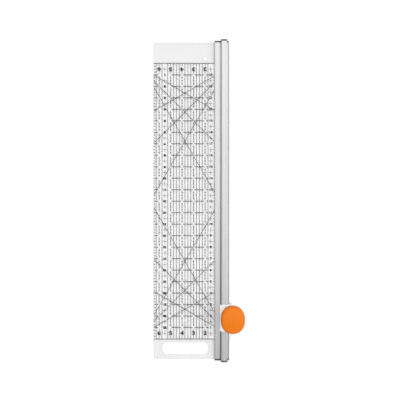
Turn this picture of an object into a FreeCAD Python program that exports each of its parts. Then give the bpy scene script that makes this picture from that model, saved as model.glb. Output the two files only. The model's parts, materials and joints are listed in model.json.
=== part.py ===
import FreeCAD, Part
import math
import os
from FreeCAD import Vector

# Clear ruler with a push-down rotary cutter that slides along an aluminium rail.
#
# Millimetres.  Every piece is drawn with X = 0 at 6.5 inches from the plate's free edge, just inside the
# rail's cutting edge, with Y = 0 at mid-length and Z = 0 at the underside.  The carriage pieces are drawn
# around Y = 0 as well.  save() moves each piece to its rest place, with the origin at the bottom centre
# of the whole object's box.

INCH = 25.4

# Ruler plate
PLATE_REACH = 6.5 * INCH        # free edge of the plate to X = 0
PLATE_LENGTH = 699.4
PLATE_THICK = 3.2
PLATE_CORNER = 3.0
PLATE_INNER_X = -6.2            # edge that butts against the rail's foot
PLATE_BEVEL = 0.3
HANG_HOLE_RADIUS = 4.0
HANG_HOLE_X = -50.8
HANG_HOLE_Y = 314.3
SLOT_X = -95.4                  # centre of the hand slot
SLOT_Y = -326.7
SLOT_SIZE = (101.0, 26.0)
SLOT_CORNER = 10.0

# Rail extrusion
RAIL_LEFT = -30.5
RAIL_EDGE = 0.8                 # the cutting edge
RAIL_TOP = 22.0
FLANGE_TOP = 4.8
FLANGE_GROOVE = (-18.7, -16.9)
FLANGE_GROOVE_DEPTH = 0.9
FOOT_LEFT = -6.0
LIP_BOTTOM = 2.6                # the edge's height, where the slope up to the flange starts
BEAD_LEFT = -16.1
BEAD_RIGHT = -3.9
BEAD_BOTTOM = 9.0
NECK_LEFT = -13.6
NECK_RIGHT = -6.4
BEAD_WALL = 1.6
BEAD_LINE_X = -7.6              # fine line along the top of the bead
BEAD_LINE_DEPTH = 0.6
CAP_THICK = 3.0
CAP_PROUD = 0.8                 # how far an end cap stands out around the bead
CAP_BEVEL = 0.3
CAP_PLUG_LENGTH = 10.0
CAP_PLUG_WALL = 1.4
RAIL_SCREW = (3.0, 1.5)         # radii of head and shank, as for the other screws
RAIL_SCREW_TIP = 9.8
RAIL_SCREW_X = -10.0
RAIL_SCREW_PITCH = 128.0
RAIL_SCREW_COUNT = 6
STRIP_X = (-28.5, -15.0)
STRIP_DEPTH = 0.6
STRIP_LENGTH = 660.0

# Carriage
CARRIAGE_REST_Y = -256.6
BODY_LEFT = -19.8
BODY_RIGHT = 32.5
BODY_HALF = 29.3                # half the carriage's length along the rail
BODY_ARC_X = 5.0                # where the straight sides turn into the rounded end
BODY_CORNER = 5.0
BODY_WALL = 2.0
BODY_SKIRT_Z = 5.4              # bottom of the body over the rail flange
BASE_BOTTOM = 4.0
BASE_TOP = 8.0
DECK_Z = 28.0                   # shoulder around the turret
ROOF_TOP = 26.0                 # top of the roof over the rail tunnel
TURRET_TOP = 38.0
TUNNEL = (-16.5, -3.5, 22.4)    # left wall, right wall and roof of the rail tunnel
POCKET_X = -1.9                 # left wall of the blade pocket
HOOK_X = -5.9                   # tip of the hook under the right of the bead
HOOK_TOP = 8.4
KEEPER_TIP_X = -14.2
KEEPER_HALF = 24.0
KEEPER_SCREW = (1.55, 0.8)
KEEPER_SCREW_PLACES = [(-18.1, -16.0), (-18.1, 16.0)]
KEEPER_SCREW_TIP = 15.0
GLIDE_PAD = (-14.0, -6.0, 13.0, 26.0)    # left, right, near and far along the rail
GLIDE_PAD_PROUD = 0.25
GLIDE_PAD_DEPTH = 1.6

# Push button and blade carrier
BUTTON_X = 7.9
BUTTON_SEMI = (26.1, 30.0)
BUTTON_FULLNESS = 2.2           # exponent of the outline; 2 is a plain ellipse
BUTTON_BOTTOM = 36.2
BUTTON_TOP = 57.0
BUTTON_WALL = 2.0
BUTTON_CROWN = 105.0            # radius of the gentle dome
BUTTON_SHOULDER = 7.0
SOCKET_RADIUS = 3.6
STROKE = 7.0
TURRET_SEMI = (23.2, 27.2)
TURRET_WALL = 1.6
CARRIER_DECK = (32.3, 36.3)
CARRIER_SEMI = (20.4, 24.6)
CARRIER_ARM_HALF = 8.5          # half the arm's width, and the radius of its eye
CARRIER_WINDOW_HALF = 6.5
STOP_GAP = 0.1
STOP_TABS = [(24.5, 32.0, -4.0, 4.0), (8.0, 14.0, 22.8, 30.0), (8.0, 14.0, -30.0, -22.8)]
POSTS = [(13.0, -15.0), (13.0, 15.0)]
POST_RADIUS = 2.0
POST_TOP = 40.0
SLEEVE_RADIUS = 4.6
GUIDE_BOTTOM = 28.0
SPRING_WIRE = 0.45              # radius of the wire
SPRING_COIL = 3.2
SPRING_TURNS = 6.5
RUNNING_FIT = 0.05
PEGS = [(17.0, 0.0), (7.0, -17.0), (7.0, 17.0)]
PEG_RADIUS = 1.8
PEG_TOP = 44.0
BASE_SCREW = (2.0, 1.0)
BASE_SCREW_PLACES = [(27.8, 0.0), (9.0, -24.0), (9.0, 24.0)]
BASE_SCREW_TIP = 18.0
BOSS_RADIUS = 3.2
BOSS_TOP = 24.8

# Blade and its bolt, along X
BLADE_RADIUS = 22.5
BLADE_X = RAIL_EDGE + 0.9
BLADE_THICK = 0.35
BLADE_BEVEL = 1.2
BLADE_BORE = 4.0
BLADE_SLOT = (1.4, 19.0, 1.3)   # half width, half length and corner of the slot in the base
AXLE_Z = BLADE_RADIUS + STROKE  # the edge just reaches Z = 0 at full stroke
SHOULDER_RADIUS = BLADE_BORE - RUNNING_FIT
BOLT_RADIUS = 2.5
BOLT_HEAD = (BLADE_X - 2.2, BLADE_X - 0.8)
BOLT_HEAD_RADIUS = 6.5
BOLT_RECESS_DEPTH = 1.9
CARRIER_ARM = (BLADE_X + 0.9, BLADE_X + 4.7)
WASHER_THICK = 0.8
NUT_THICK = 4.0
NUT_X = CARRIER_ARM[1] + WASHER_THICK
BOLT_END = NUT_X + NUT_THICK + 0.9


def box(x0, x1, y0, y1, z0, z1):
    return Part.makeBox(x1 - x0, y1 - y0, z1 - z0, Vector(x0, y0, z0))


def upright(radius, x, y, z0, z1):
    return Part.makeCylinder(radius, z1 - z0, Vector(x, y, z0))


def crosswise(radius, x0, x1):
    """Cylinder along X on the blade's axle line."""
    return Part.makeCylinder(radius, x1 - x0, Vector(x0, 0, AXLE_Z), Vector(1, 0, 0))


def fuse(shapes):
    return shapes[0].multiFuse(shapes[1:]).removeSplitter()


def rounded_face(corners, lift):
    """Face of a polygon with corners (a, b, radius); lift turns (a, b) into a point in space."""
    edges = []
    arcs = []
    for index, (a, b, radius) in enumerate(corners):
        here = Vector(a, b, 0)
        if radius == 0:
            arcs.append((here, None, here))
            continue
        before = Vector(*corners[index - 1][:2], 0)
        after = Vector(*corners[(index + 1) % len(corners)][:2], 0)
        back = (before - here).normalize()
        ahead = (after - here).normalize()
        half = back.getAngle(ahead) / 2
        reach = radius / math.tan(half)
        inward = (back + ahead).normalize()
        middle = here + inward * (radius / math.sin(half) - radius)
        arcs.append((here + back * reach, middle, here + ahead * reach))
    for index, (start, middle, end) in enumerate(arcs):
        if middle is not None:
            edges.append(Part.Arc(lift(start), lift(middle), lift(end)).toShape())
        following = arcs[(index + 1) % len(arcs)][0]
        if end.distanceToPoint(following) > 1e-6:
            edges.append(Part.LineSegment(lift(end), lift(following)).toShape())
    return Part.Face(Part.Wire(edges))


def section(corners, y0, y1):
    """Solid with one X-Z section along Y."""
    face = rounded_face(corners, lambda p: Vector(p.x, y0, p.y))
    return face.extrude(Vector(0, y1 - y0, 0))


def slab(corners, z0, z1):
    """Solid with one X-Y outline, upright."""
    face = rounded_face(corners, lambda p: Vector(p.x, p.y, z0))
    return face.extrude(Vector(0, 0, z1 - z0))


def rectangle(x0, x1, y0, y1, radius):
    return [(x0, y0, radius), (x1, y0, radius), (x1, y1, radius), (x0, y1, radius)]


def oval(semi, z0, z1):
    """Upright oval column, centred under the push button."""
    centre = Vector(BUTTON_X, 0, z0)
    ellipse = Part.Ellipse(centre + Vector(0, semi[1], 0), centre + Vector(semi[0], 0, 0), centre)
    return Part.Face(Part.Wire(ellipse.toShape())).extrude(Vector(0, 0, z1 - z0))


def fuller_oval(semi, z0, z1):
    """Upright column like oval(), a little squarer at its shoulders."""
    points = []
    steps = 24
    for index in range(steps):
        angle = 2 * math.pi * index / steps
        across = math.cos(angle)
        along = math.sin(angle)
        x = semi[0] * math.copysign(abs(across) ** (2 / BUTTON_FULLNESS), across)
        y = semi[1] * math.copysign(abs(along) ** (2 / BUTTON_FULLNESS), along)
        points.append(Vector(BUTTON_X + x, y, z0))
    outline = Part.BSplineCurve()
    outline.interpolate(Points=points, PeriodicFlag=True)
    return Part.Face(Part.Wire(outline.toShape())).extrude(Vector(0, 0, z1 - z0))


def body_block(inset, z0, z1):
    """The carriage's outline: straight on the rail side, half an oval on the other."""
    half = BODY_HALF - inset
    left = BODY_LEFT + inset
    corner = BODY_CORNER - inset
    centre = Vector(BODY_ARC_X, 0, z0)
    apex = centre + Vector(0, half, 0)
    tip = Vector(BODY_RIGHT - inset, 0, z0)
    round_end = Part.ArcOfEllipse(Part.Ellipse(apex, tip, centre), 0, math.pi)
    chord = corner * (1 - math.sqrt(0.5))
    points = [
        Vector(BODY_ARC_X, -half, z0),
        Vector(left + corner, -half, z0),
        Vector(left + chord, -half + chord, z0),
        Vector(left, -half + corner, z0),
        Vector(left, half - corner, z0),
        Vector(left + chord, half - chord, z0),
        Vector(left + corner, half, z0),
        apex,
    ]
    edges = [
        round_end.toShape(),
        Part.LineSegment(points[0], points[1]).toShape(),
        Part.Arc(points[1], points[2], points[3]).toShape(),
        Part.LineSegment(points[3], points[4]).toShape(),
        Part.Arc(points[4], points[5], points[6]).toShape(),
        Part.LineSegment(points[6], points[7]).toShape(),
    ]
    return Part.Face(Part.Wire(edges)).extrude(Vector(0, 0, z1 - z0))


def level_edges(shape, z):
    """Edges of a solid that lie wholly at one height."""
    return [
        edge for edge in shape.Edges
        if abs(edge.BoundBox.ZMin - z) < 1e-4 and abs(edge.BoundBox.ZMax - z) < 1e-4
    ]


def countersunk_screw(place, radii, z0, z1):
    """Screw driven upwards, its head flush at z0, with a crossed recess."""
    x, y = place
    head_radius, shank_radius = radii
    head_height = head_radius - shank_radius
    head = Part.makeCone(head_radius, shank_radius, head_height, Vector(x, y, z0))
    shank = upright(shank_radius, x, y, z0 + head_height, z1)
    arm = head_radius * 0.55
    slit = head_radius * 0.12
    depth = z0 + head_height * 0.6
    recess = box(x - arm, x + arm, y - slit, y + slit, z0 - 1, depth)
    crossing = box(x - slit, x + slit, y - arm, y + arm, z0 - 1, depth)
    return fuse([head, shank]).cut(recess).cut(crossing)


def countersunk_hole(place, radii, clearance, z0, z1):
    """Space that a countersunk screw and its clearance hole take out of a piece."""
    head_radius, shank_radius = radii
    cone = Part.makeCone(head_radius, shank_radius, head_radius - shank_radius, Vector(*place, z0))
    return fuse([cone, upright(shank_radius + clearance, *place, z0, z1)])


def rail_screw_places():
    first = -RAIL_SCREW_PITCH * (RAIL_SCREW_COUNT - 1) / 2
    return [(RAIL_SCREW_X, first + RAIL_SCREW_PITCH * index) for index in range(RAIL_SCREW_COUNT)]


def ruler_plate():
    half = PLATE_LENGTH / 2
    corners = [
        (-PLATE_REACH, -half, PLATE_CORNER),
        (PLATE_INNER_X, -half, 0),
        (PLATE_INNER_X, half, 0),
        (-PLATE_REACH, half, PLATE_CORNER),
    ]
    plate = slab(corners, 0, PLATE_THICK)
    plate = plate.makeChamfer(PLATE_BEVEL, level_edges(plate, PLATE_THICK))
    across = SLOT_SIZE[0] / 2
    along = SLOT_SIZE[1] / 2
    slot = rectangle(SLOT_X - across, SLOT_X + across, SLOT_Y - along, SLOT_Y + along, SLOT_CORNER)
    plate = plate.cut(slab(slot, -1, PLATE_THICK + 1))
    plate = plate.cut(upright(HANG_HOLE_RADIUS, HANG_HOLE_X, HANG_HOLE_Y, -1, PLATE_THICK + 1))
    plate = plate.cut(non_slip_strip())
    for place in rail_screw_places():
        plate = plate.cut(countersunk_hole(place, RAIL_SCREW, 0.2, 0, PLATE_THICK))
    return plate


def non_slip_strip():
    return box(*STRIP_X, -STRIP_LENGTH / 2, STRIP_LENGTH / 2, 0, STRIP_DEPTH)


def guide_rail():
    """Flange over the plate, foot with the cutting edge, and a hollow bead for the carriage."""
    groove_left, groove_right = FLANGE_GROOVE
    groove_floor = FLANGE_TOP - FLANGE_GROOVE_DEPTH
    line_half = 0.5
    outline = [
        (RAIL_LEFT, PLATE_THICK, 0),
        (FOOT_LEFT, PLATE_THICK, 0),
        (FOOT_LEFT, 0, 0),
        (RAIL_EDGE, 0, 0),
        (RAIL_EDGE, LIP_BOTTOM, 0.5),
        (-2.4, LIP_BOTTOM + 0.6, 0),
        (-4.4, FLANGE_TOP, 0.8),
        (NECK_RIGHT, FLANGE_TOP, 0.5),
        (NECK_RIGHT, BEAD_BOTTOM, 0),
        (BEAD_RIGHT, BEAD_BOTTOM, 0.8),
        (BEAD_RIGHT, RAIL_TOP, 2.4),
        (BEAD_LINE_X + line_half, RAIL_TOP, 0),
        (BEAD_LINE_X, RAIL_TOP - BEAD_LINE_DEPTH, 0),
        (BEAD_LINE_X - line_half, RAIL_TOP, 0),
        (BEAD_LEFT, RAIL_TOP, 2.4),
        (BEAD_LEFT, BEAD_BOTTOM, 0.8),
        (NECK_LEFT, BEAD_BOTTOM, 0),
        (NECK_LEFT, FLANGE_TOP, 0),
        (groove_right, FLANGE_TOP, 0),
        (groove_right, groove_floor, 0),
        (groove_left, groove_floor, 0),
        (groove_left, FLANGE_TOP, 0.2),
        (RAIL_LEFT, FLANGE_TOP, 0.8),
    ]
    rail = section(outline, -PLATE_LENGTH / 2, PLATE_LENGTH / 2)
    hollow = section(bead_hollow(0), -PLATE_LENGTH / 2, PLATE_LENGTH / 2)
    rail = rail.cut(hollow)
    for place in rail_screw_places():
        rail = rail.cut(upright(RAIL_SCREW[1], *place, PLATE_THICK - 1, RAIL_SCREW_TIP))
    return rail


def bead_hollow(inset):
    left = BEAD_LEFT + BEAD_WALL + inset
    right = BEAD_RIGHT - BEAD_WALL - inset
    corner = 1.2
    return rectangle(left, right, BEAD_BOTTOM + BEAD_WALL + inset, RAIL_TOP - BEAD_WALL - inset, corner)


def rail_end_cap(side):
    """Moulded cap over one end of the rail, with a hollow plug inside the bead."""
    proud = CAP_PROUD
    right = RAIL_EDGE - 0.2
    bottom = 0.3                # clear of the table
    flange_cover = FLANGE_TOP + 0.4
    outline = [
        (RAIL_LEFT, PLATE_THICK, 0.4),
        (PLATE_INNER_X, PLATE_THICK, 0),
        (PLATE_INNER_X, bottom, 0.4),
        (right, bottom, 0.4),
        (right, LIP_BOTTOM + 0.6, 0.6),
        (BEAD_RIGHT + proud, flange_cover + 0.2, 0),
        (BEAD_RIGHT + proud, RAIL_TOP + proud, 2.6),
        (BEAD_LEFT - proud, RAIL_TOP + proud, 2.6),
        (BEAD_LEFT - proud, flange_cover, 0),
        (RAIL_LEFT, flange_cover, 0.8),
    ]
    face_y = PLATE_LENGTH / 2
    cap = section(outline, face_y, face_y + CAP_THICK)
    outer_edges = [
        edge for edge in cap.Edges
        if edge.BoundBox.YMin > face_y + CAP_THICK - 1e-4 and edge.Length > 1.0
    ]
    cap = cap.makeChamfer(CAP_BEVEL, outer_edges)
    plug = section(bead_hollow(RUNNING_FIT), face_y - CAP_PLUG_LENGTH, face_y)
    plug = plug.cut(section(bead_hollow(CAP_PLUG_WALL), face_y - CAP_PLUG_LENGTH - 1, face_y))
    cap = fuse([cap, plug])
    if side < 0:
        cap = cap.mirror(Vector(0, 0, 0), Vector(0, 1, 0))
    return cap


def rail_screws():
    screws = [countersunk_screw(place, RAIL_SCREW, 0, RAIL_SCREW_TIP) for place in rail_screw_places()]
    return Part.makeCompound(screws)


def turret_opening(z0, z1):
    return oval((TURRET_SEMI[0] - TURRET_WALL, TURRET_SEMI[1] - TURRET_WALL), z0, z1)


def pocket_side(inset, z0, z1):
    """The carriage's outline, only to the right of the wall beside the rail."""
    reach = box(POCKET_X, BODY_RIGHT + 1, -BODY_HALF - 1, BODY_HALF + 1, z0, z1)
    return body_block(inset, z0, z1).common(reach)


def carriage_body():
    """Casing that straddles the rail, with a turret that the push button slides over."""
    shell = body_block(0, BODY_SKIRT_Z, DECK_Z)
    shell = shell.makeFillet(2.5, level_edges(shell, DECK_Z))
    shell = shell.cut(pocket_side(-1, BODY_SKIRT_Z - 1, BASE_TOP))
    shell = fuse([shell, oval(TURRET_SEMI, DECK_Z - 3, TURRET_TOP)])
    shell = shell.cut(turret_opening(ROOF_TOP, TURRET_TOP + 1))
    shell = shell.cut(pocket_side(BODY_WALL, BASE_TOP - 1, ROOF_TOP))
    ends = (-BODY_HALF - 1, BODY_HALF + 1)
    under = BODY_SKIRT_Z - 1
    shell = shell.cut(box(TUNNEL[0], TUNNEL[1], *ends, HOOK_TOP, TUNNEL[2]))
    shell = shell.cut(box(TUNNEL[0], HOOK_X, *ends, under, HOOK_TOP))
    shell = shell.cut(box(BODY_LEFT - 1, TUNNEL[0], -KEEPER_HALF, KEEPER_HALF, under, HOOK_TOP))
    walls = body_block(0, BASE_TOP, ROOF_TOP)
    bosses = [upright(BOSS_RADIUS, *place, BASE_TOP, BOSS_TOP).common(walls) for place in BASE_SCREW_PLACES]
    shell = fuse([shell] + bosses + stop_tabs())
    for place in BASE_SCREW_PLACES:
        shell = shell.cut(upright(BASE_SCREW[1], *place, BASE_TOP, BASE_SCREW_TIP))
    for place in KEEPER_SCREW_PLACES:
        shell = shell.cut(upright(KEEPER_SCREW[1], *place, HOOK_TOP, KEEPER_SCREW_TIP))
    for side in (-1, 1):
        shell = shell.cut(glide_pad(side))
    return shell


def stop_tabs():
    """Tabs inside the turret's rim that hold the blade carrier down against its springs."""
    bite = 0.5                  # how far the tabs stop inside the turret's outer face
    semi = (TURRET_SEMI[0] - bite, TURRET_SEMI[1] - bite)
    rim = oval(semi, CARRIER_DECK[1] + STOP_GAP, TURRET_TOP)
    return [rim.common(box(*reach, CARRIER_DECK[1], TURRET_TOP)) for reach in STOP_TABS]


def glide_pad(side):
    left, right, inner, outer = GLIDE_PAD
    near, far = sorted((side * inner, side * outer))
    bottom = TUNNEL[2] - GLIDE_PAD_PROUD
    return box(left, right, near, far, bottom, TUNNEL[2] + GLIDE_PAD_DEPTH)


def glide_pads():
    pads = []
    for side in (-1, 1):
        pad = glide_pad(side)
        pads.append(pad.makeChamfer(0.2, level_edges(pad, pad.BoundBox.ZMin)))
    return Part.makeCompound(pads)


def base_plate():
    """Bottom cover of the blade pocket, with the slot that the blade comes through."""
    plate = pocket_side(0, BASE_BOTTOM, BASE_TOP)
    bottom = [edge for edge in level_edges(plate, BASE_BOTTOM) if edge.BoundBox.XMax > POCKET_X + 0.1]
    plate = plate.makeChamfer(1.0, bottom)
    across, along, corner = BLADE_SLOT
    slot = rectangle(BLADE_X - across, BLADE_X + across, -along, along, corner)
    plate = plate.cut(slab(slot, BASE_BOTTOM - 1, BASE_TOP + 1))
    for place in POSTS:
        plate = plate.cut(upright(POST_RADIUS, *place, BASE_BOTTOM + 1, BASE_TOP + 1))
    for place in BASE_SCREW_PLACES:
        plate = plate.cut(countersunk_hole(place, BASE_SCREW, 0.1, BASE_BOTTOM, BASE_TOP))
    return plate


def base_screws():
    places = BASE_SCREW_PLACES
    return Part.makeCompound(
        [countersunk_screw(place, BASE_SCREW, BASE_BOTTOM, BASE_SCREW_TIP) for place in places]
    )


def keeper_plate():
    """Strip screwed under the casing that hooks below the left of the bead."""
    strip = rectangle(BODY_LEFT, KEEPER_TIP_X, -KEEPER_HALF, KEEPER_HALF, 0.6)
    keeper = slab(strip, BODY_SKIRT_Z, HOOK_TOP)
    for place in KEEPER_SCREW_PLACES:
        keeper = keeper.cut(countersunk_hole(place, KEEPER_SCREW, 0.1, BODY_SKIRT_Z, HOOK_TOP))
    return keeper


def keeper_screws():
    places = KEEPER_SCREW_PLACES
    return Part.makeCompound(
        [countersunk_screw(place, KEEPER_SCREW, BODY_SKIRT_Z, KEEPER_SCREW_TIP) for place in places]
    )


def guide_posts():
    posts = []
    for place in POSTS:
        post = upright(POST_RADIUS, *place, BASE_BOTTOM + 1, POST_TOP)
        posts.append(post.makeChamfer(0.4, level_edges(post, POST_TOP)))
    return Part.makeCompound(posts)


def return_springs():
    height = GUIDE_BOTTOM - BASE_TOP - 2 * SPRING_WIRE
    springs = []
    for x, y in POSTS:
        helix = Part.Wire(Part.makeHelix(height / SPRING_TURNS, height, SPRING_COIL).Edges)
        ring = Part.Circle(Vector(SPRING_COIL, 0, 0), Vector(0, 1, 0), SPRING_WIRE).toShape()
        spring = helix.makePipeShell([Part.Wire(ring)], True, True)
        spring.translate(Vector(x, y, BASE_TOP + SPRING_WIRE))
        springs.append(spring)
    return Part.makeCompound(springs)


def blade_carrier():
    """Plunger: a deck with guide sleeves and pegs, and an arm that holds the blade's bolt."""
    arm_left, arm_right = CARRIER_ARM
    deck_bottom, deck_top = CARRIER_DECK
    deck = oval(CARRIER_SEMI, deck_bottom, deck_top)
    right_part = box(arm_left, BODY_RIGHT, -BODY_HALF, BODY_HALF, deck_bottom, deck_top)
    half = CARRIER_WINDOW_HALF
    window = box(arm_right, BOLT_END + 0.9, -half, half, deck_bottom - 1, deck_top + 1)
    deck = deck.common(right_part).cut(window)
    arm = box(arm_left, arm_right, -CARRIER_ARM_HALF, CARRIER_ARM_HALF, AXLE_Z, deck_top)
    eye = crosswise(CARRIER_ARM_HALF, arm_left, arm_right)
    sleeves = [upright(SLEEVE_RADIUS, *place, GUIDE_BOTTOM, deck_top) for place in POSTS]
    pegs = []
    for place in PEGS:
        peg = upright(PEG_RADIUS, *place, deck_top - 1, PEG_TOP)
        pegs.append(peg.makeChamfer(0.4, level_edges(peg, PEG_TOP)))
    carrier = fuse([deck, arm, eye] + sleeves + pegs)
    for place in POSTS:
        carrier = carrier.cut(upright(POST_RADIUS + RUNNING_FIT, *place, GUIDE_BOTTOM - 1, PEG_TOP + 1))
    return carrier.cut(crosswise(BOLT_RADIUS, arm_left - 1, arm_right + 1))


def dome(inset, z0, top, shoulder):
    """Oval column with a gently crowned top and a rounded shoulder."""
    column = fuller_oval((BUTTON_SEMI[0] - inset, BUTTON_SEMI[1] - inset), z0, top)
    column = column.common(Part.makeSphere(BUTTON_CROWN, Vector(BUTTON_X, 0, top - BUTTON_CROWN)))
    rim = [
        edge for edge in column.Edges
        if edge.BoundBox.ZMin > z0 + 1 and edge.BoundBox.ZMax < top - 1 and edge.BoundBox.YLength > 1
    ]
    return column.makeFillet(shoulder, rim)


def push_button():
    """Hollow oval cap over the turret, pressed on to the blade carrier's pegs."""
    outer = dome(0, BUTTON_BOTTOM, BUTTON_TOP, BUTTON_SHOULDER)
    inner = dome(BUTTON_WALL, BUTTON_BOTTOM - 1, BUTTON_TOP - BUTTON_WALL, BUTTON_SHOULDER - BUTTON_WALL)
    sockets = [upright(SOCKET_RADIUS, *place, TURRET_TOP, BUTTON_TOP).common(outer) for place in PEGS]
    cap = fuse([outer.cut(inner)] + sockets)
    for place in PEGS:
        cap = cap.cut(upright(PEG_RADIUS, *place, TURRET_TOP - 1, PEG_TOP + 0.5))
    return cap


def rotary_blade():
    """Thin disc ground to an edge on both faces."""
    flat_radius = BLADE_RADIUS - BLADE_BEVEL
    half = BLADE_THICK / 2
    parts = [crosswise(flat_radius, BLADE_X - half, BLADE_X + half)]
    for direction in (-1, 1):
        axis = Vector(direction, 0, 0)
        parts.append(Part.makeCone(BLADE_RADIUS, flat_radius, half, Vector(BLADE_X, 0, AXLE_Z), axis))
    return fuse(parts).cut(crosswise(BLADE_BORE, BLADE_X - 1, BLADE_X + 1))


def blade_bolt():
    """Shoulder bolt: a flat head with a hexagon recess, the blade's bearing and a plain shank."""
    head_left, head_right = BOLT_HEAD
    head = crosswise(BOLT_HEAD_RADIUS, head_left, head_right)
    head = head.makeChamfer(0.3, [edge for edge in head.Edges if edge.BoundBox.XMax < head_left + 0.1])
    shoulder = crosswise(SHOULDER_RADIUS, head_right, CARRIER_ARM[0])
    shank = crosswise(BOLT_RADIUS, CARRIER_ARM[0], BOLT_END)
    recess = hexagon(2.0, head_left - 1, head_left + BOLT_RECESS_DEPTH)
    return fuse([head, shoulder, shank]).cut(recess)


def hexagon(radius, x0, x1):
    """Six-sided bar along the axle line."""
    points = []
    for corner in range(7):
        angle = math.radians(60 * corner)
        points.append(Vector(x0, radius * math.cos(angle), AXLE_Z + radius * math.sin(angle)))
    return Part.Face(Part.makePolygon(points)).extrude(Vector(x1 - x0, 0, 0))


def spring_washer():
    """Slightly dished washer between the blade and the carrier's arm."""
    thick = 0.25
    blade_side = BLADE_X + thick
    arm_side = CARRIER_ARM[0]
    inner = 4.3
    outer = 7.0
    outline = [
        Vector(blade_side, inner, 0),
        Vector(blade_side + thick, inner, 0),
        Vector(arm_side, outer, 0),
        Vector(arm_side - thick, outer, 0),
        Vector(blade_side, inner, 0),
    ]
    ring = Part.Face(Part.makePolygon(outline)).revolve(Vector(0, 0, 0), Vector(1, 0, 0), 360)
    ring.translate(Vector(0, 0, AXLE_Z))
    return ring


def flat_washer():
    outer = 5.5
    bore = 2.7
    return crosswise(outer, CARRIER_ARM[1], NUT_X).cut(crosswise(bore, CARRIER_ARM[1], NUT_X))


def blade_nut():
    """Hexagon nut with its corners turned off at both faces."""
    nut_right = NUT_X + NUT_THICK
    face_radius = 4.1
    nut = hexagon(4.6, NUT_X, nut_right)
    for x, inward in ((NUT_X, 1), (nut_right, -1)):
        axis = Vector(inward, 0, 0)
        base = Vector(x, 0, AXLE_Z)
        nut = nut.common(Part.makeCone(face_radius, face_radius + NUT_THICK, NUT_THICK, base, axis))
    return nut.cut(crosswise(BOLT_RADIUS, NUT_X - 1, nut_right + 1))


def save(name, shape, rest_y):
    origin_x = (PLATE_REACH - BUTTON_X - BUTTON_SEMI[0]) / 2
    shape.translate(Vector(origin_x, rest_y, 0))
    shape.exportStep("parts/" + name + ".step")


def main():
    os.makedirs("parts", exist_ok=True)
    save("ruler_plate", ruler_plate(), 0)
    save("non_slip_strip", non_slip_strip(), 0)
    save("guide_rail", guide_rail(), 0)
    save("rail_screws", rail_screws(), 0)
    save("rail_end_cap_far", rail_end_cap(1), 0)
    save("rail_end_cap_near", rail_end_cap(-1), 0)
    carriage = {
        "carriage_body": carriage_body,
        "base_plate": base_plate,
        "base_screws": base_screws,
        "keeper_plate": keeper_plate,
        "keeper_screws": keeper_screws,
        "glide_pads": glide_pads,
        "guide_posts": guide_posts,
        "return_springs": return_springs,
        "blade_carrier": blade_carrier,
        "push_button": push_button,
        "rotary_blade": rotary_blade,
        "blade_bolt": blade_bolt,
        "spring_washer": spring_washer,
        "flat_washer": flat_washer,
        "blade_nut": blade_nut,
    }
    for name, build in carriage.items():
        save(name, build(), CARRIAGE_REST_Y)


main()
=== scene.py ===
import json
import math

import bmesh
import bpy
from mathutils import Matrix, Vector


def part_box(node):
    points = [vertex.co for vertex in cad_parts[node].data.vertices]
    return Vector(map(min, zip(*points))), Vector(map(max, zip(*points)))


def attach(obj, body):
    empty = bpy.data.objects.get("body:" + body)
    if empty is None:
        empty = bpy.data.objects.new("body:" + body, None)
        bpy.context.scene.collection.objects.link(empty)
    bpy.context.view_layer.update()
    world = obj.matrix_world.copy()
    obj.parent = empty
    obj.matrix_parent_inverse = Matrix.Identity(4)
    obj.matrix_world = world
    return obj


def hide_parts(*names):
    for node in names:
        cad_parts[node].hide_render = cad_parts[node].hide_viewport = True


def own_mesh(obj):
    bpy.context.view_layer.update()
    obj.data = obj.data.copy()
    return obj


# A clear ruler with a sliding rotary cutter. The CAD nodes get their materials, the print is added on
# the plate, wound springs stand in for the plain ones, and a studio goes round it all.

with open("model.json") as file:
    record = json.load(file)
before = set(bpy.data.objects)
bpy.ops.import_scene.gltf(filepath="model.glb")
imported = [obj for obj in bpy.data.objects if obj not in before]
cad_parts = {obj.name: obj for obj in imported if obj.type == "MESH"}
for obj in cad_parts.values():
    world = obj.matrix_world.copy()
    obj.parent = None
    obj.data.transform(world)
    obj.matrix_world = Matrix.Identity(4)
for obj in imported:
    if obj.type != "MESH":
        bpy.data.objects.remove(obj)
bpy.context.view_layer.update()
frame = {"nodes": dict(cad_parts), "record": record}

MM = 0.001
INCH = 0.0254

# Places, all from the frame
PLATE_LOW, PLATE_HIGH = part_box("ruler_plate")
RAIL_LOW, RAIL_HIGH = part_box("guide_rail")
BLADE_LOW, BLADE_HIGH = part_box("rotary_blade")
SPRING_LOW, SPRING_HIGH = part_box("return_springs")
RAIL_EDGE = RAIL_HIGH.x

# The printed grid, in inches: columns count leftwards from its zero line, rows from the near end
GRID_ROWS = 24
GRID_LEFT = 6.5                  # the ruler's nominal width
GRID_EDGE = 6.45                 # where rows and ticks stop, just short of the plate's free edge
GRID_RIGHT = 1.19                # where they stop beside the rail
QUARTERS = 4                     # lines and ticks to an inch
GRID_ZERO_X = RAIL_EDGE - 1.6 * MM
GRID_MID_Y = (PLATE_LOW.y + PLATE_HIGH.y) / 2 - 1.2 * MM

# Where shade is painted on the rail: in its groove, along the side that lies on the plate, and along the
# cutting edge
GROOVE_FROM_EDGE = 18.1 * MM
GROOVE_HALF = 1.0 * MM
GROOVE_RISE = 1.2 * MM
GROOVE_DEPTH_HALF = 0.7 * MM
FLANGE_PAINTED_SHADE = 1.0 * MM
EDGE_PAINTED_SHADE = 1.05 * MM


# ---------------------------------------------------------------- materials

# Sockets of a Mix node that mixes colours
MIX_FIRST = 6
MIX_SECOND = 7
MIX_RESULT = 2


def start_material(name):
    """A new material, its node tree, and the surface socket of the only node in it, the output."""
    made = bpy.data.materials.new(name)
    made.use_nodes = True
    tree = made.node_tree
    tree.nodes.clear()
    output = tree.nodes.new("ShaderNodeOutputMaterial")
    return made, tree, output.inputs["Surface"]


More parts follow.
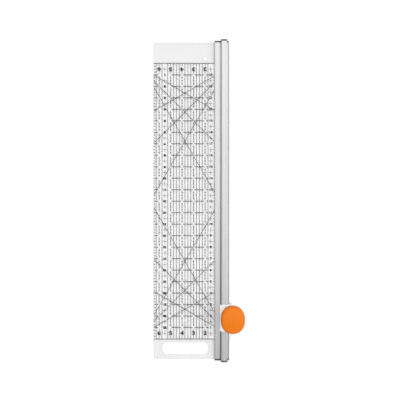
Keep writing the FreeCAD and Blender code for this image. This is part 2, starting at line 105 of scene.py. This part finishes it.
def add(tree, kind, **settings):
    """A node whose settings are attributes, or values of its sockets where the name has no attribute."""
    node = tree.nodes.new(kind)
    for key, value in settings.items():
        if hasattr(node, key):
            setattr(node, key, value)
        else:
            node.inputs[key.replace("_", " ")].default_value = value
    return node


def stretched_noise(tree, scale, stretch=(1, 1, 1), detail=4.0):
    """Noise over the object's own metres, finer along the axes with a larger stretch."""
    place = add(tree, "ShaderNodeTexCoord")
    mapping = add(tree, "ShaderNodeMapping", Scale=stretch)
    noise = add(tree, "ShaderNodeTexNoise", Scale=scale, Detail=detail)
    tree.links.new(place.outputs["Object"], mapping.inputs["Vector"])
    tree.links.new(mapping.outputs["Vector"], noise.inputs["Vector"])
    return noise.outputs["Fac"]


def spread(tree, value, low, high):
    """value, from about 0.3 to 0.7, spread over low to high."""
    ranged = add(tree, "ShaderNodeMapRange", From_Min=0.3, From_Max=0.7, To_Min=low, To_Max=high)
    tree.links.new(value, ranged.inputs["Value"])
    return ranged.outputs["Result"]


def eased(tree, value, start, end, low, high):
    """low until value reaches start, easing over to high at end."""
    ranged = add(tree, "ShaderNodeMapRange", interpolation_type="SMOOTHSTEP",
                 From_Min=start, From_Max=end, To_Min=low, To_Max=high)
    tree.links.new(value, ranged.inputs["Value"])
    return ranged.outputs["Result"]


def combined(tree, operation, first, second):
    """Two values multiplied, added or otherwise combined."""
    result = add(tree, "ShaderNodeMath", operation=operation)
    tree.links.new(first, result.inputs[0])
    tree.links.new(second, result.inputs[1])
    return result.outputs[0]


def adjusted(tree, operation, value, number=0.0):
    """A value combined with a number, which an operation on one value ignores."""
    result = add(tree, "ShaderNodeMath", operation=operation)
    result.inputs[1].default_value = number
    tree.links.new(value, result.inputs[0])
    return result.outputs[0]


def band(tree, value, centre, half, soft):
    """1 where value is within half of centre, fading to 0 over soft."""
    away = adjusted(tree, "SUBTRACT", value, centre)
    distance = adjusted(tree, "ABSOLUTE", away)
    return eased(tree, distance, half, half + soft, low=1.0, high=0.0)


def components(tree, kind, output):
    """X, Y and Z, by name, of the vector that a new node of this kind gives."""
    source = add(tree, kind)
    parts = add(tree, "ShaderNodeSeparateXYZ")
    tree.links.new(source.outputs[output], parts.inputs[0])
    return parts.outputs


def mixed(tree, share, first, second):
    """The first shader where share is 0, the second where it is 1."""
    mix = add(tree, "ShaderNodeMixShader")
    tree.links.new(share, mix.inputs["Fac"])
    tree.links.new(first, mix.inputs[1])
    tree.links.new(second, mix.inputs[2])
    return mix.outputs[0]


def blend_colours(tree, value, first, second):
    """The first colour where value is 0.3 or less, the second where it is 0.7 or more."""
    ramp = add(tree, "ShaderNodeValToRGB")
    ramp.color_ramp.elements[0].position = 0.3
    ramp.color_ramp.elements[0].color = (*first, 1)
    ramp.color_ramp.elements[1].position = 0.7
    ramp.color_ramp.elements[1].color = (*second, 1)
    tree.links.new(value, ramp.inputs["Fac"])
    return ramp.outputs["Color"]


def add_bump(tree, shader, height, strength, distance):
    bump = add(tree, "ShaderNodeBump", Strength=strength, Distance=distance)
    tree.links.new(height, bump.inputs["Height"])
    tree.links.new(bump.outputs["Normal"], shader.inputs["Normal"])


def shade(colour, share):
    return tuple(channel * share for channel in colour)


def plastic(name, colour, roughness, grain=2500.0, depth=0.02 * MM, flow_marks=0.05):
    """Moulded plastic: faint flow marks in the colour, a fine moulded grain and uneven gloss."""
    made, tree, surface = start_material(name)
    shader = add(tree, "ShaderNodeBsdfPrincipled")
    flow = stretched_noise(tree, 60.0, (1, 1, 2.5))
    tint = blend_colours(tree, flow, shade(colour, 1 - flow_marks), colour)
    tree.links.new(tint, shader.inputs["Base Color"])
    polish = stretched_noise(tree, 350.0)
    tree.links.new(spread(tree, polish, roughness * 0.85, roughness * 1.15), shader.inputs["Roughness"])
    add_bump(tree, shader, stretched_noise(tree, grain), strength=0.35, distance=depth)
    tree.links.new(shader.outputs[0], surface)
    return made


def button_plastic(name):
    """Smooth orange plastic with painted shade: darker round the steep rim than on the crown, by the way the
    surface faces.
    """
    rim_shade_colour = (0.54, 0.130, 0.005)
    crown_colour = (0.70, 0.166, 0.004)
    mottle_share = 0.12
    made, tree, surface = start_material(name)
    shader = add(tree, "ShaderNodeBsdfPrincipled", Specular_IOR_Level=0.25)
    # Painted shade: the colour darkens as the surface turns from facing up to facing sideways
    facing = components(tree, "ShaderNodeNewGeometry", "Normal")
    crown = add(tree, "ShaderNodeMapRange", From_Min=0.1, From_Max=1.0, To_Min=0.3, To_Max=0.66)
    tree.links.new(facing["Z"], crown.inputs["Value"])
    mottle = adjusted(tree, "MULTIPLY", stretched_noise(tree, 45.0, (1, 1.6, 1)), mottle_share)
    depth = combined(tree, "ADD", mottle, crown.outputs["Result"])
    tree.links.new(blend_colours(tree, depth, rim_shade_colour, crown_colour), shader.inputs["Base Color"])
    polish = stretched_noise(tree, 350.0)
    tree.links.new(spread(tree, polish, low=0.24, high=0.34), shader.inputs["Roughness"])
    add_bump(tree, shader, stretched_noise(tree, 260.0), strength=0.1, distance=0.01 * MM)
    tree.links.new(shader.outputs[0], surface)
    return made


def metal(name, colour, roughness, scale):
    """Bare or plated steel, faintly mottled in colour, gloss and surface."""
    made, tree, surface = start_material(name)
    shader = add(tree, "ShaderNodeBsdfPrincipled", Metallic=1.0)
    mottle = stretched_noise(tree, scale, detail=6.0)
    tree.links.new(blend_colours(tree, mottle, shade(colour, 0.9), colour), shader.inputs["Base Color"])
    tree.links.new(spread(tree, mottle, roughness * 0.75, roughness * 1.25), shader.inputs["Roughness"])
    add_bump(tree, shader, mottle, strength=0.3, distance=0.01 * MM)
    tree.links.new(shader.outputs[0], surface)
    return made


def rail_metal(name):
    """Anodised extrusion: lines drawn along it, and painted shade in its groove, along the side that lies on
    the plate and along the cutting edge; the shade in the groove and on that side fades towards the far end.
    """
    made, tree, surface = start_material(name)
    shader = add(tree, "ShaderNodeBsdfPrincipled", Metallic=1.0)
    fine = stretched_noise(tree, 1600.0, (1, 0.004, 1), 6.0)
    broad = stretched_noise(tree, 330.0, (1, 0.006, 1), 2.0)
    place = components(tree, "ShaderNodeTexCoord", "Object")

    # Painted shade: how strongly the groove and the plate side are darkened, most at the near end and fading
    # towards the far end
    painted_shade_fade = add(tree, "ShaderNodeMapRange",
                From_Min=RAIL_LOW.y, From_Max=RAIL_HIGH.y, To_Min=0.95, To_Max=0.35)
    tree.links.new(place["Y"], painted_shade_fade.inputs["Value"])
    # Painted shade in the groove beside the bead, where the recess lies in shadow
    groove_across = band(tree, place["X"], RAIL_EDGE - GROOVE_FROM_EDGE, GROOVE_HALF, soft=0.3 * MM)
    groove_height = band(tree, place["Z"], PLATE_HIGH.z + GROOVE_RISE, GROOVE_DEPTH_HALF, soft=0.1 * MM)
    groove = combined(tree, "MULTIPLY", groove_across, groove_height)
    groove_painted_shade = combined(tree, "MULTIPLY", groove, painted_shade_fade.outputs["Result"])
    # Painted shade along the flange's side where it lies on the plate, where contact shadow falls
    plate_side = band(tree, place["X"], RAIL_LOW.x + FLANGE_PAINTED_SHADE, FLANGE_PAINTED_SHADE / 2, soft=0.2 * MM)
    on_flange = combined(tree, "MULTIPLY", plate_side, painted_shade_fade.outputs["Result"])
    # Painted shade along the cutting edge: a near black strip standing in for the edge's shaded side and its
    # narrow shadow
    cutting_edge = band(tree, place["X"], RAIL_EDGE, EDGE_PAINTED_SHADE, soft=0.2 * MM)

    colour = blend_colours(tree, broad, (0.83, 0.83, 0.835), (0.95, 0.95, 0.955))
    # Colours of the painted shade: in the groove, on the side that lies on the plate, and along the cutting
    # edge
    darkened = (
        (groove_painted_shade, (0.12, 0.12, 0.13, 1)),
        (on_flange, (0.44, 0.44, 0.45, 1)),
        (cutting_edge, (0.035, 0.035, 0.04, 1)),
    )
    for share, dark in darkened:
        mix = add(tree, "ShaderNodeMix", data_type="RGBA")
        tree.links.new(share, mix.inputs["Factor"])
        tree.links.new(colour, mix.inputs[MIX_FIRST])
        mix.inputs[MIX_SECOND].default_value = dark
        colour = mix.outputs[MIX_RESULT]
    tree.links.new(colour, shader.inputs["Base Color"])
    tree.links.new(spread(tree, fine, low=0.24, high=0.38), shader.inputs["Roughness"])
    add_bump(tree, shader, fine, strength=0.3, distance=0.006 * MM)
    tree.links.new(shader.outputs[0], surface)
    return made


def ground_steel(name, colour, roughness):
    """Blade steel with fine rings from grinding around the blade's axle."""
    made, tree, surface = start_material(name)
    shader = add(tree, "ShaderNodeBsdfPrincipled", Metallic=1.0)
    centre = (BLADE_LOW + BLADE_HIGH) / 2
    place = add(tree, "ShaderNodeTexCoord")
    mapping = add(tree, "ShaderNodeMapping", Location=tuple(-centre))
    rings = add(tree, "ShaderNodeTexWave", wave_type="RINGS", rings_direction="X",
                Scale=900.0, Distortion=1.5, Detail=3.0)
    tree.links.new(place.outputs["Object"], mapping.inputs["Vector"])
    tree.links.new(mapping.outputs["Vector"], rings.inputs["Vector"])
    tint = blend_colours(tree, rings.outputs["Fac"], shade(colour, 0.82), colour)
    tree.links.new(tint, shader.inputs["Base Color"])
    rough = spread(tree, rings.outputs["Fac"], roughness * 0.8, roughness * 1.2)
    tree.links.new(rough, shader.inputs["Roughness"])
    tree.links.new(shader.outputs[0], surface)
    return made


def clear_face(tree, place):
    """See-through sheet, a little clearer over the grid than in the margins, that mirrors at a slant."""
    margin_wash = 0.928
    grid_wash = 0.973
    in_grid = band(tree, place["Y"], GRID_MID_Y, GRID_ROWS / 2 * INCH, soft=0.3 * MM)
    wash = add(tree, "ShaderNodeMix", data_type="RGBA")
    wash.inputs[MIX_FIRST].default_value = (margin_wash, margin_wash, margin_wash, 1)
    wash.inputs[MIX_SECOND].default_value = (grid_wash, grid_wash, grid_wash, 1)
    tree.links.new(in_grid, wash.inputs["Factor"])
    clear = add(tree, "ShaderNodeBsdfTransparent")
    tree.links.new(wash.outputs[MIX_RESULT], clear.inputs["Color"])
    gloss = add(tree, "ShaderNodeBsdfGlossy", Color=(1, 1, 1, 1), Roughness=0.05)
    add_bump(tree, gloss, stretched_noise(tree, 14.0, (1, 0.4, 1)), strength=0.05, distance=0.05 * MM)
    slant = add(tree, "ShaderNodeLayerWeight", Blend=0.5)
    steep = adjusted(tree, "POWER", slant.outputs["Facing"], 4.5)
    mirror = add(tree, "ShaderNodeMapRange", To_Min=0.018, To_Max=0.8)
    tree.links.new(steep, mirror.inputs["Value"])
    return mixed(tree, mirror.outputs["Result"], clear.outputs[0], gloss.outputs[0])


def sawn_edge(tree):
    """The sheet's upright edges: paler, half see-through, with marks of the saw."""
    edge = add(tree, "ShaderNodeBsdfPrincipled", Roughness=0.18, Alpha=0.55)
    saw_marks = stretched_noise(tree, 900.0, (1, 1, 0.15))
    tint = blend_colours(tree, saw_marks, (0.66, 0.70, 0.71), (0.84, 0.87, 0.88))
    tree.links.new(tint, edge.inputs["Base Color"])
    return edge.outputs[0]


def acrylic(name):
    """Clear sheet: see-through faces above and below, and sawn edges wherever it stands upright."""
    flat_from = 0.9
    made, tree, surface = start_material(name)
    face = clear_face(tree, components(tree, "ShaderNodeTexCoord", "Object"))
    facing = components(tree, "ShaderNodeNewGeometry", "Normal")
    flatness = adjusted(tree, "ABSOLUTE", facing["Z"])
    is_edge = adjusted(tree, "LESS_THAN", flatness, flat_from)
    tree.links.new(mixed(tree, is_edge, face, sawn_edge(tree)), surface)
    return made


def make_materials():
    """One material for each slot in the record, and one for the print."""
    return {
        "clear_acrylic": acrylic("clear_acrylic"),
        "silicone": plastic("silicone", (0.42, 0.43, 0.44), 0.7, grain=1500.0, depth=0.05 * MM),
        "rail_aluminium": rail_metal("rail_aluminium"),
        "screw_steel": metal("screw_steel", (0.72, 0.72, 0.71), 0.28, scale=700.0),
        "spring_steel": metal("spring_steel", (0.55, 0.55, 0.57), 0.25, scale=900.0),
        "blade_steel": ground_steel("blade_steel", (0.78, 0.79, 0.80), 0.22),
        "cap_plastic": plastic("cap_plastic", (0.045, 0.045, 0.05), 0.5),
        "body_plastic": plastic("body_plastic", (0.93, 0.93, 0.92), 0.32,
                                grain=1800.0, depth=0.004 * MM, flow_marks=0.03),
        "carrier_plastic": plastic("carrier_plastic", (0.05, 0.05, 0.055), 0.42),
        "nylon": plastic("nylon", (0.78, 0.76, 0.68), 0.45),
        "button_plastic": button_plastic("button_plastic"),
        "ink": plastic("ink", (0.018, 0.018, 0.02), 0.45, grain=1200.0, depth=0.005 * MM),
    }


def dress_cad_nodes(materials):
    """Every CAD node takes the material of its slot in the record."""
    for entry in frame["record"]["subparts"]:
        node = frame["nodes"][entry["node"]]
        node.data.materials.clear()
        node.data.materials.append(materials[entry["material_slot"]])


# ---------------------------------------------------------------- printed grid

# Ink on the plate; each layer stands a little higher, so strokes of different kinds share no top
INK_BASE = PLATE_HIGH.z
INK_THICK = 0.03 * MM
LAYER_STEP = 0.15               # as a share of the ink's thickness

QUARTER_WIDTH = 1.03 * MM
INCH_WIDTH = 0.95 * MM
ROW_WIDTH = 1.2 * MM
ANGLE_WIDTH = 0.85 * MM
TICK_WIDTH = 1.1 * MM
RAIL_TICK_WIDTH = 0.825 * MM
BORDER_WIDTH = 0.35 * MM
CROSS_WIDTH = 0.75 * MM
DOT_RADIUS = 1.7 * MM

# From here on in inches, like columns and rows
OUTER_COLUMN = 6.25
INNER_COLUMN = 1.75
INCH_COLUMNS = (2, 3, 4, 5, 6)
NUMBER_COLUMNS = (5.5, 1.5)
NUMBER_STRIPS = ((5.55, 0.5), (1.46, 0.24))     # middle and half width of what rows leave clear for them
CROSSING_GAP = 0.07             # half the gap where an inch row meets an inch column
END_NUMBER = 0.5                # from either end to the middle of a large number
END_NUMBER_GAP = 0.2            # half of what an inch column leaves clear for it
TICKLESS_END = 0.9              # inch columns have no ticks nearer to either end
INCH_TICK = 0.06                # reach of a tick to each side of an inch column
EDGE_TICK = 0.12
RAIL_TICK = 0.08
CROSS_UP = 0.25                 # reach of the small crosses along a column
CROSS_ACROSS = 0.15
ANGLE_FOCUS = 3.75              # column where the slanted lines of each pair cross
ANGLE_START = {30: 1.0, 45: 1.5, 60: 2.0}       # row where each slanted line would meet GRID_LEFT


def grid_point(column, row, z=INK_BASE):
    """Place on the plate, from inches left of the zero line and inches from the grid's near end."""
    return Vector((GRID_ZERO_X - column * INCH, GRID_MID_Y + (row - GRID_ROWS / 2) * INCH, z))


def new_piece(name, mesh, body, material):
    """An object of the given mesh that rides on a CAD body."""
    piece = bpy.data.objects.new(name, mesh)
    bpy.context.scene.collection.objects.link(piece)
    mesh.materials.append(material)
    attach(piece, body)
    return piece


def print_patch(ink, outline, layer):
    """A flat closed patch of ink over an outline on the plate."""
    top = Vector((0, 0, INK_THICK * (1 + LAYER_STEP * layer)))
    lower = [ink.verts.new(point) for point in outline]
    upper = [ink.verts.new(point + top) for point in outline]
    ink.faces.new(reversed(lower))
    ink.faces.new(upper)
    for index in range(len(outline)):
        following = (index + 1) % len(outline)
        ink.faces.new((lower[index], lower[following], upper[following], upper[index]))


def stroke(ink, start, end, width, layer):
    along = (end - start).normalized()
    side = Vector((-along.y, along.x, 0)) * (width / 2)
    print_patch(ink, [start - side, end - side, end + side, start + side], layer)


def column_stroke(ink, column, row0, row1, width, layer=0):
    stroke(ink, grid_point(column, row0), grid_point(column, row1), width, layer)


def row_stroke(ink, row, column0, column1, width, layer=1):
    stroke(ink, grid_point(column0, row), grid_point(column1, row), width, layer)


def draw_dot(ink, column, row, radius, layer):
    centre = grid_point(column, row)
    sides = 24
    rim = []
    for index in range(sides):
        angle = 2 * math.pi * index / sides
        rim.append(centre + Vector((math.cos(angle), math.sin(angle), 0)) * radius)
    print_patch(ink, rim, layer)


def spans(start, end, gaps):
    """What is left of start to end once each gap (centre, half width) is taken out."""
    kept = []
    place = start
    for centre, half in sorted(gaps):
        if centre - half > place:
            kept.append((place, min(centre - half, end)))
        place = max(place, centre + half)
    if place < end:
        kept.append((place, end))
    return kept


def draw_ticks(ink, column0, column1, width):
    """Short strokes every quarter inch along the grid."""
    for step in range(1, GRID_ROWS * QUARTERS):
        row_stroke(ink, step / QUARTERS, column0, column1, width, layer=2)


def draw_inch_ticks(ink, column):
    """Ticks on an inch column, between the inch rows and clear of the large numbers."""
    for step in range(1, GRID_ROWS * QUARTERS):
        row = step / QUARTERS
        on_row = step % QUARTERS == 0
        if not on_row and TICKLESS_END <= row <= GRID_ROWS - TICKLESS_END:
            row_stroke(ink, row, column - INCH_TICK, column + INCH_TICK, TICK_WIDTH, layer=2)


def draw_columns(ink):
    """Quarter-inch lines run through; inch lines stop at the rows and carry quarter-inch ticks."""
    for step in range(int(OUTER_COLUMN * QUARTERS), int(INNER_COLUMN * QUARTERS) - 1, -1):
        column = step / QUARTERS
        if column in NUMBER_COLUMNS:
            continue
        if column in INCH_COLUMNS:
            gaps = [(row, CROSSING_GAP) for row in range(1, GRID_ROWS)]
            gaps += [(END_NUMBER, END_NUMBER_GAP), (GRID_ROWS - END_NUMBER, END_NUMBER_GAP)]
            for row0, row1 in spans(0, GRID_ROWS, gaps):
                column_stroke(ink, column, row0, row1, INCH_WIDTH)
            draw_inch_ticks(ink, column)
        else:
            column_stroke(ink, column, 0, GRID_ROWS, QUARTER_WIDTH)


def draw_rows(ink):
    """Inch rows, broken at the inch columns and at the two columns of numbers; whole at both ends."""
    gaps = [(-column, CROSSING_GAP) for column in INCH_COLUMNS]
    gaps += [(-column, half) for column, half in NUMBER_STRIPS]
    for row in range(1, GRID_ROWS):
        for minus_column0, minus_column1 in spans(-GRID_EDGE, -GRID_RIGHT, gaps):
            row_stroke(ink, row, -minus_column0, -minus_column1, ROW_WIDTH)
    for row in (0, GRID_ROWS):
        row_stroke(ink, row, GRID_EDGE, GRID_RIGHT, ROW_WIDTH)


def draw_edge_scales(ink):
    """A thin line down the free edge and ticks on both sides of the grid."""
    column_stroke(ink, GRID_EDGE, 0, GRID_ROWS, BORDER_WIDTH)
    draw_ticks(ink, GRID_EDGE, GRID_EDGE - EDGE_TICK, TICK_WIDTH)
    draw_ticks(ink, GRID_RIGHT, GRID_RIGHT + RAIL_TICK, RAIL_TICK_WIDTH)


def draw_crosses(ink):
    """A small cross half way between each two numbers."""
    for column in NUMBER_COLUMNS:
        for whole in range(GRID_ROWS):
            row = whole + 0.5
            column_stroke(ink, column, row - CROSS_UP, row + CROSS_UP, CROSS_WIDTH)
            row_stroke(ink, row, column + CROSS_ACROSS, column - CROSS_ACROSS, CROSS_WIDTH, layer=2)


def clip_to_grid(column, row, column_step, row_step):
    """First and last number of steps for which a slanted line through a point is in the grid."""
    first, last = -math.inf, math.inf
    limits = ((column, column_step, GRID_RIGHT, GRID_EDGE), (row, row_step, 0, GRID_ROWS))
    for place, step, least, most in limits:
        enters, leaves = sorted(((least - place) / step, (most - place) / step))
        first = max(first, enters)
        last = min(last, leaves)
    return first, last


def draw_angles(ink):
    """Pairs of 30, 45 and 60 degree lines near each end, crossing at marked points."""
    reach = GRID_LEFT - ANGLE_FOCUS
    for degrees, start in ANGLE_START.items():
        slope = math.tan(math.radians(degrees))
        near_crossing = start + reach * slope
        for row in (near_crossing, GRID_ROWS - near_crossing):
            for rise in (-slope, slope):
                clipped = clip_to_grid(ANGLE_FOCUS, row, 1.0, rise)
                ends = [grid_point(ANGLE_FOCUS + steps, row + rise * steps) for steps in clipped]
                stroke(ink, ends[0], ends[1], ANGLE_WIDTH, layer=3)
            draw_dot(ink, ANGLE_FOCUS, row, DOT_RADIUS, layer=4)


def make_grid(material):
    ink = bmesh.new()
    draw_columns(ink)
    draw_rows(ink)
    draw_edge_scales(ink)
    draw_crosses(ink)
    draw_angles(ink)
    mesh = bpy.data.meshes.new("printed_grid")
    ink.to_mesh(mesh)
    ink.free()
    new_piece("printed_grid", mesh, "ruler", material)


# ---------------------------------------------------------------- printed numbers

NUMBER_THICK = 0.06 * MM
SMALL_HEIGHT = 6.0 * MM
LARGE_HEIGHT = 9.4 * MM
LEFT_BOLDNESS = 0.65 * MM       # how far each figure's outline is swollen
RIGHT_BOLDNESS = 0.36 * MM
LARGE_BOLDNESS = 0.5 * MM
ONE_DIGIT_WIDEN = 1.2
TWO_DIGIT_WIDEN = 0.92
FIGURE_SPACING = 1.15
FIGURE_SHARE = 0.73             # height of the font's figures as a share of its size


def add_numeral(collected, number, column, row, height, upside_down, boldness):
    """One number, centred on a place in the grid, added to the collecting mesh."""
    letter = bpy.data.curves.new("numeral", "FONT")
    letter.body = str(number)
    letter.size = (height - 2 * boldness) / FIGURE_SHARE
    letter.space_character = FIGURE_SPACING
    letter.align_x = "CENTER"
    letter.align_y = "CENTER"
    letter.bevel_depth = boldness
    letter.bevel_resolution = 0
    carrier = bpy.data.objects.new("numeral", letter)
    bpy.context.scene.collection.objects.link(carrier)
    graph = bpy.context.evaluated_depsgraph_get()
    mesh = bpy.data.meshes.new_from_object(carrier.evaluated_get(graph))
    widen = ONE_DIGIT_WIDEN if number < 10 else TWO_DIGIT_WIDEN
    flatten = Matrix.Diagonal((widen, 1, NUMBER_THICK / (2 * boldness), 1))
    turn = Matrix.Rotation(math.pi if upside_down else 0.0, 4, "Z")
    centre = grid_point(column, row, INK_BASE + NUMBER_THICK / 2)
    mesh.transform(Matrix.Translation(centre) @ turn @ flatten)
    collected.from_mesh(mesh)
    bpy.data.objects.remove(carrier)
    bpy.data.curves.remove(letter)
    bpy.data.meshes.remove(mesh)


def make_numerals(material):
    """Small numbers count the rows from the end they are read at; large ones name the columns."""
    left, right = NUMBER_COLUMNS
    collected = bmesh.new()
    for row in range(1, GRID_ROWS):
        add_numeral(collected, GRID_ROWS - row, left, row, SMALL_HEIGHT, True, LEFT_BOLDNESS)
        add_numeral(collected, row, right, row, SMALL_HEIGHT, False, RIGHT_BOLDNESS)
    for column in INCH_COLUMNS:
        far_row = GRID_ROWS - END_NUMBER
        add_numeral(collected, column, column, END_NUMBER, LARGE_HEIGHT, False, LARGE_BOLDNESS)
        add_numeral(collected, column, column, far_row, LARGE_HEIGHT, True, LARGE_BOLDNESS)
    mesh = bpy.data.meshes.new("printed_numbers")
    collected.to_mesh(mesh)
    collected.free()
    new_piece("printed_numbers", mesh, "ruler", material)


# ---------------------------------------------------------------- return springs

SPRING_COIL = 3.2 * MM
SPRING_WIRE = 0.45 * MM
SPRING_TURNS = 8                # one of them closed at each end


def spring_rise(turn):
    """Height of the wire's centre along the spring: flat first and last turns, even pitch between."""
    closed = 2 * SPRING_WIRE
    total = SPRING_HIGH.z - SPRING_LOW.z - 2 * SPRING_WIRE
    if turn < 1:
        return closed * turn
    if turn > SPRING_TURNS - 1:
        return total - closed * (SPRING_TURNS - turn)
    return closed + (total - 2 * closed) * (turn - 1) / (SPRING_TURNS - 2)


def wind_wire(mesh, centre):
    """A closed tube wound round an upright axis."""
    steps = 28
    sides = 10
    rings = []
    for step in range(SPRING_TURNS * steps + 1):
        angle = 2 * math.pi * step / steps
        outward = Vector((math.cos(angle), math.sin(angle), 0))
        middle = centre + outward * SPRING_COIL + Vector((0, 0, SPRING_WIRE + spring_rise(step / steps)))
        ring = []
        for side in range(sides):
            turn = 2 * math.pi * side / sides
            offset = outward * math.cos(turn) + Vector((0, 0, math.sin(turn)))
            ring.append(mesh.verts.new(middle + offset * SPRING_WIRE))
        rings.append(ring)
    for ring, after in zip(rings, rings[1:]):
        for side in range(sides):
            following = (side + 1) % sides
            face = mesh.faces.new((ring[side], ring[following], after[following], after[side]))
            face.smooth = True
    mesh.faces.new(reversed(rings[0]))
    mesh.faces.new(rings[-1])


def make_springs(material):
    """Two wound springs in place of the plain ones, riding on the carriage."""
    reach = SPRING_COIL + SPRING_WIRE
    across = (SPRING_LOW.x + SPRING_HIGH.x) / 2
    for name, along in (("near", SPRING_LOW.y + reach), ("far", SPRING_HIGH.y - reach)):
        foot = Vector((across, along, SPRING_LOW.z))
        wire = bmesh.new()
        wind_wire(wire, foot)
        bmesh.ops.recalc_face_normals(wire, faces=wire.faces)
        mesh = bpy.data.meshes.new("return_spring_" + name)
        wire.to_mesh(mesh)
        wire.free()
        spring = new_piece("return_spring_" + name, mesh, "carriage", material)
        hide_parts("return_springs")
        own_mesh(spring)


# ---------------------------------------------------------------- stage, light and camera

FLOOR_RADIUS = 12.0
FLOOR_DROP = 0.3 * MM           # below the underside of the ruler

# Brightness of the surround, from its near side at 0 to its far side at 1
FLAG_LEVELS = ((0.20, 0.75), (0.30, 0.18), (0.38, 0.30), (0.455, 0.90), (0.62, 0.92))

# A bright round window, with a soft rim between two angles from its middle
WINDOW_TOWARDS = (-0.35, 0.65, 0.67)
WINDOW_OUTER = math.radians(16)
WINDOW_INNER = math.radians(11)
WINDOW_STRENGTH = 1.2

SUN_ANGLE = math.radians(50)

CAMERA_HEIGHT = 1.6             # above the plate
SEEN_WIDTH = 0.8842             # of the plate's level, across the picture
SENSOR_WIDTH = 36.0
CAMERA_FROM_EDGE = 63.6 * MM
CAMERA_PAST_MIDDLE = 2.6 * MM   # from the grid's middle towards its far end


def make_floor():
    mesh = bpy.data.meshes.new("floor")
    disc = bmesh.new()
    bmesh.ops.create_circle(disc, cap_ends=True, segments=64, radius=FLOOR_RADIUS)
    disc.to_mesh(mesh)
    disc.free()
    floor = bpy.data.objects.new("floor", mesh)
    floor.location.z = -FLOOR_DROP
    bpy.context.scene.collection.objects.link(floor)
    made, tree, surface = start_material("pale_floor")
    shader = add(tree, "ShaderNodeBsdfPrincipled", Roughness=0.9, Specular_IOR_Level=0.1)
    cloud = stretched_noise(tree, 3.0)
    tint = blend_colours(tree, cloud, (0.90, 0.90, 0.90), (0.92, 0.92, 0.92))
    tree.links.new(tint, shader.inputs["Base Color"])
    tree.links.new(shader.outputs[0], surface)
    mesh.materials.append(made)


def flag_colour(tree, from_near):
    """Grey that follows FLAG_LEVELS as from_near goes from 0 to 1."""
    flag = add(tree, "ShaderNodeValToRGB")
    stops = flag.color_ramp.elements
    stops[0].position = FLAG_LEVELS[0][0]
    stops[1].position = FLAG_LEVELS[-1][0]
    for position, _ in FLAG_LEVELS[1:-1]:
        stops.new(position)
    for stop, (_, level) in zip(stops, FLAG_LEVELS):
        stop.color = (level, level, level, 1)
    tree.links.new(from_near, flag.inputs["Fac"])
    return flag.outputs["Color"]


def window_light(tree):
    place = add(tree, "ShaderNodeTexCoord")
    towards = add(tree, "ShaderNodeVectorMath", operation="DOT_PRODUCT")
    towards.inputs[1].default_value = Vector(WINDOW_TOWARDS).normalized()
    tree.links.new(place.outputs["Generated"], towards.inputs[0])
    outer = math.cos(WINDOW_OUTER)
    inner = math.cos(WINDOW_INNER)
    return eased(tree, towards.outputs["Value"], outer, inner, low=0.0, high=WINDOW_STRENGTH)


def make_world():
    """Soft studio surround: a dark flag on the near side, dim low down and to the left, brighter to the
    right, and one window. The camera sees plain white instead."""
    world = bpy.data.worlds.new("studio")
    world.use_nodes = True
    tree = world.node_tree
    tree.nodes.clear()
    direction = components(tree, "ShaderNodeTexCoord", "Generated")
    from_near = add(tree, "ShaderNodeMapRange", From_Min=-1.0, From_Max=1.0)
    tree.links.new(direction["Y"], from_near.inputs["Value"])

    rise = eased(tree, direction["Z"], start=0.12, end=0.88, low=0.16, high=1.06)
    left = eased(tree, direction["X"], start=-0.75, end=-0.25, low=0.5, high=1.0)
    right = eased(tree, direction["X"], start=0.05, end=0.5, low=1.0, high=1.35)
    sky = combined(tree, "MULTIPLY", rise, combined(tree, "MULTIPLY", left, right))
    strength = combined(tree, "ADD", sky, window_light(tree))

    lit = add(tree, "ShaderNodeBackground")
    tree.links.new(flag_colour(tree, from_near.outputs["Result"]), lit.inputs["Color"])
    tree.links.new(strength, lit.inputs["Strength"])
    seen = add(tree, "ShaderNodeBackground", Color=(1, 1, 1, 1))
    ray = add(tree, "ShaderNodeLightPath")
    output = add(tree, "ShaderNodeOutputWorld")
    either = mixed(tree, ray.outputs["Is Camera Ray"], lit.outputs[0], seen.outputs[0])
    tree.links.new(either, output.inputs["Surface"])
    bpy.context.scene.world = world


def add_soft_sun(name, towards, strength):
    """Even light from a broad patch of sky, left out of reflections."""
    light = bpy.data.lights.new(name, "SUN")
    light.energy = strength
    light.angle = SUN_ANGLE
    holder = bpy.data.objects.new(name, light)
    holder.visible_glossy = False
    holder.rotation_euler = Vector(towards).to_track_quat("-Z", "Y").to_euler()
    bpy.context.scene.collection.objects.link(holder)


def make_camera():
    """Straight above, a little left of the cutting edge, far end of the ruler up."""
    camera = bpy.data.cameras.new("camera")
    camera.sensor_width = SENSOR_WIDTH
    camera.lens = SENSOR_WIDTH * CAMERA_HEIGHT / SEEN_WIDTH
    holder = bpy.data.objects.new("camera", camera)
    across = RAIL_EDGE - CAMERA_FROM_EDGE
    along = GRID_MID_Y + CAMERA_PAST_MIDDLE
    holder.location = (across, along, PLATE_HIGH.z + CAMERA_HEIGHT)
    bpy.context.scene.collection.objects.link(holder)
    bpy.context.scene.camera = holder


def main():
    make_camera()
    make_world()
    make_floor()
    add_soft_sun("key", towards=(0.3, -0.25, -1.0), strength=1.10)
    add_soft_sun("fill", towards=(-0.75, 0.15, -1.0), strength=1.19)
    bpy.context.scene.view_settings.view_transform = "Standard"
    materials = make_materials()
    dress_cad_nodes(materials)
    make_grid(materials["ink"])
    make_numerals(materials["ink"])
    make_springs(materials["spring_steel"])


main()
